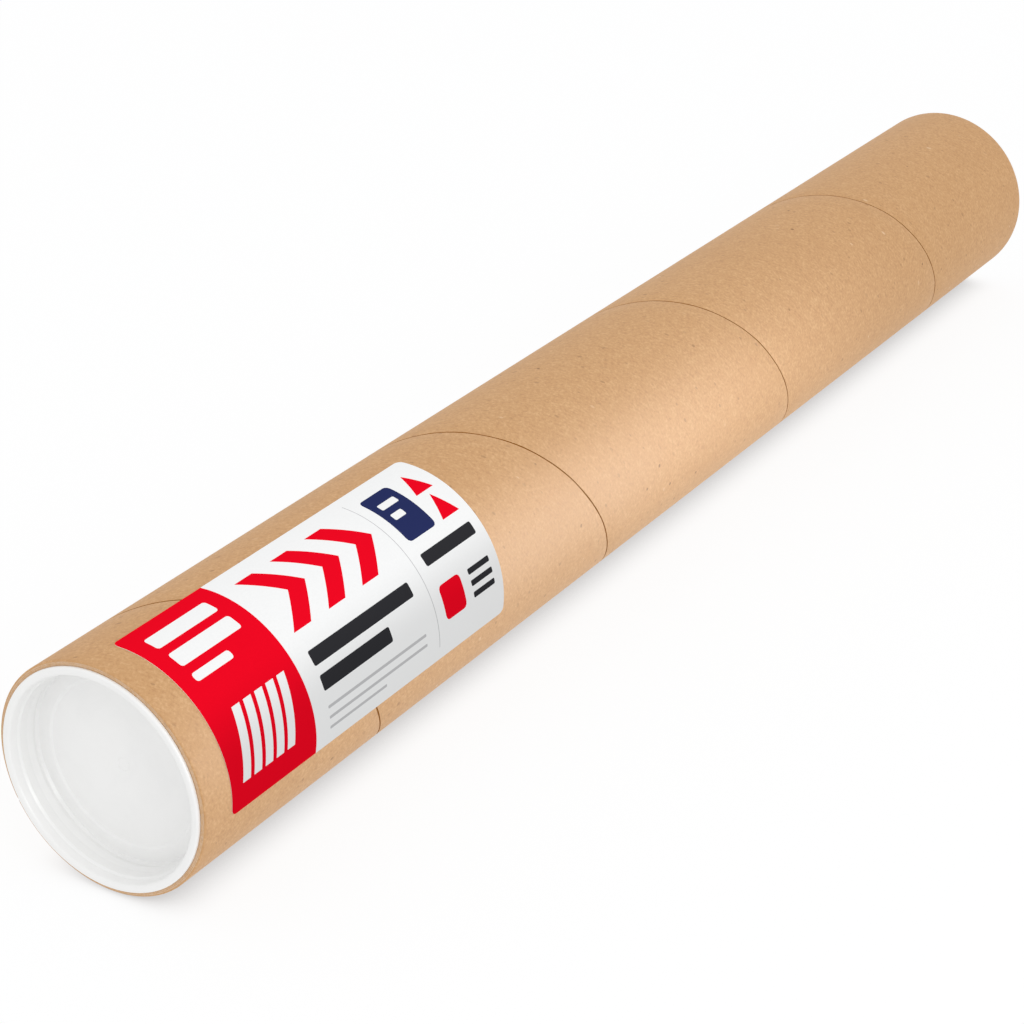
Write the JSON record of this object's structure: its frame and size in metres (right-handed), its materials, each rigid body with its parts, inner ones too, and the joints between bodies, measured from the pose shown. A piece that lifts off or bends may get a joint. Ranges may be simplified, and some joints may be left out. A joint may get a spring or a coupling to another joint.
{
  "type": "cardboard mailing tube",
  "caption": "Long spirally wound kraft-board tube with a wrapped paper label, closed by recessed white plastic plugs that pull out of its ends, for posting rolled sheets.",
  "frame": {"origin": "middle of the rear plug's lip, on the surface that the tube stands on", "axes": "+Z along the tube's axis to the front plug, -Y towards the middle of the label"},
  "size_m": [0.0844, 0.0845, 0.6634],
  "materials": {
    "kraft_board": "matt brown kraft with fine fibres",
    "label_paper": "smooth white coated paper with a red printed band",
    "plug_plastic": "white moulded plastic with a soft sheen"
  },
  "bodies": {
    "tube": {"tube": "kraft_board", "label": "label_paper"},
    "front_cap": {"front_cap": "plug_plastic"},
    "rear_cap": {"rear_cap": "plug_plastic"}
  },
  "joints": [
    {"name": "front_cap_pull", "type": "slide", "parent": "tube", "child": "front_cap", "axis": [0, 0, 1], "range_m": [0, 0.06]},
    {"name": "rear_cap_pull", "type": "slide", "parent": "tube", "child": "rear_cap", "axis": [0, 0, -1], "range_m": [0, 0.06]}
  ]
}
